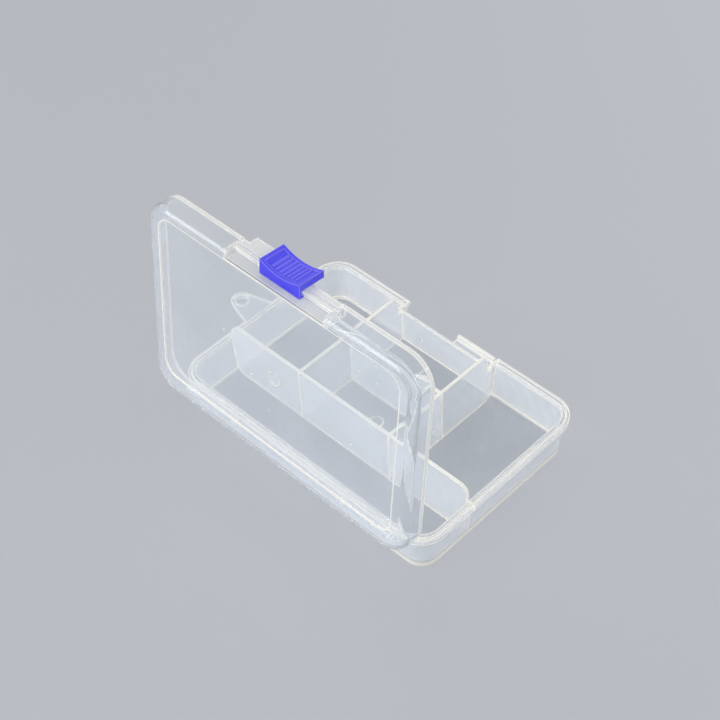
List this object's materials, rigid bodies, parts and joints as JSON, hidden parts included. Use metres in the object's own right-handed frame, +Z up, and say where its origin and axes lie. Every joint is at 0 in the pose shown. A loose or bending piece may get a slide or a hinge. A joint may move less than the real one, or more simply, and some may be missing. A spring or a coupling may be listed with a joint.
{
  "type": "hinged lid organizer case",
  "caption": "Shallow clear plastic case with moulded-in dividers, a lid on two rod hinges, a ribbed blue latch that slides on the lid's rail, and a hanging ear.",
  "frame": {"origin": "The middle of the flat underside that the case rests on.", "axes": "+Z is up, away from the resting face. +X runs along the hinge, and the hanging ear is at -X. The hinge is at -Y and the latch closes at +Y."},
  "size_m": [0.1055, 0.0727, 0.0833],
  "materials": {
    "clear_tray": "clear, slightly hazy moulded polypropylene",
    "clear_lid": "clear, slightly hazy moulded polypropylene",
    "blue_latch": "opaque royal blue moulded polypropylene"
  },
  "bodies": {
    "tray": {"tray": "clear_tray"},
    "lid": {"lid": "clear_lid"},
    "slide_latch": {"slide_latch": "blue_latch"}
  },
  "joints": [
    {"name": "lid_hinge", "type": "hinge", "parent": "tray", "child": "lid", "pos_m": [0, -0.0342, 0.0145], "axis": [1, 0, 0], "range_deg": [-84.2, 95.8]},
    {"name": "latch_slide", "type": "slide", "parent": "lid", "child": "slide_latch", "axis": [1, 0, 0], "range_m": [-0.0098, 0.0098]}
  ]
}
